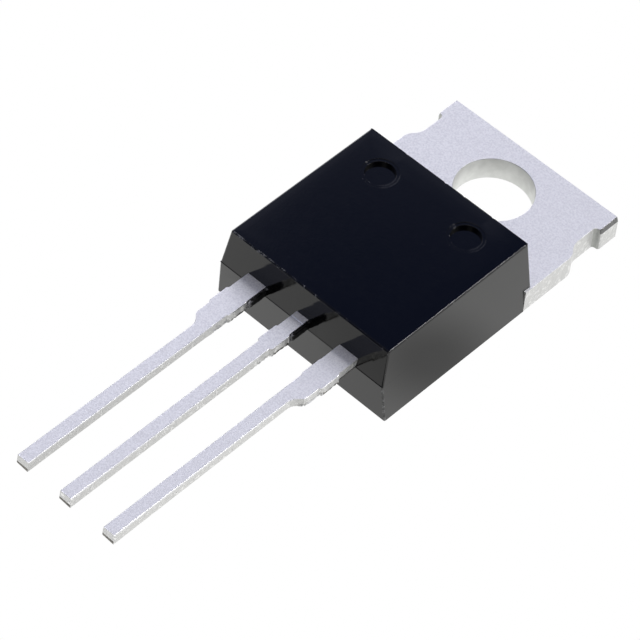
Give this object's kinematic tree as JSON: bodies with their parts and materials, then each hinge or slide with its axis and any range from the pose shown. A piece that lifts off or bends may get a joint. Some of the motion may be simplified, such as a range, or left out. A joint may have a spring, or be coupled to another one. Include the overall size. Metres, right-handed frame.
{
  "type": "schottky diode",
  "caption": "Dual schottky rectifier in a flat black moulding with three straight tinned leads and a drilled metal tab that bolts to a heat sink.",
  "frame": {"origin": "centre of the tab's mounting hole, in the plane of the flat back that bolts to the heat sink", "axes": "+Z along the hole, out of the back plane towards the moulded face; +Y along the part towards the free end of the tab, away from the leads; +X across the leads, to the right when the moulded face is seen with the leads towards the viewer"},
  "size_m": [0.01, 0.0294, 0.0041],
  "materials": {
    "moulding": "black filled epoxy moulding compound, fine satin gloss on top and a smoother draw-polished gloss on the sides",
    "tinned_copper": "matte electroplated tin over stamped copper, fine pale grain, sheared edges rougher and warmer",
    "silicon": "polished silicon with an aluminium top metal, sealed inside",
    "die_solder": "dull grey high-lead solder film, sealed inside",
    "bond_wire": "bright drawn aluminium wire, sealed inside"
  },
  "bodies": {
    "root": {"moulded_body": "moulding", "cathode_tab_lead": "tinned_copper", "anode_lead_left": "tinned_copper", "anode_lead_right": "tinned_copper", "schottky_die_left": "silicon", "schottky_die_right": "silicon", "die_solder_left": "die_solder", "die_solder_right": "die_solder", "bond_wire_left": "bond_wire", "bond_wire_right": "bond_wire"}
  },
  "joints": []
}
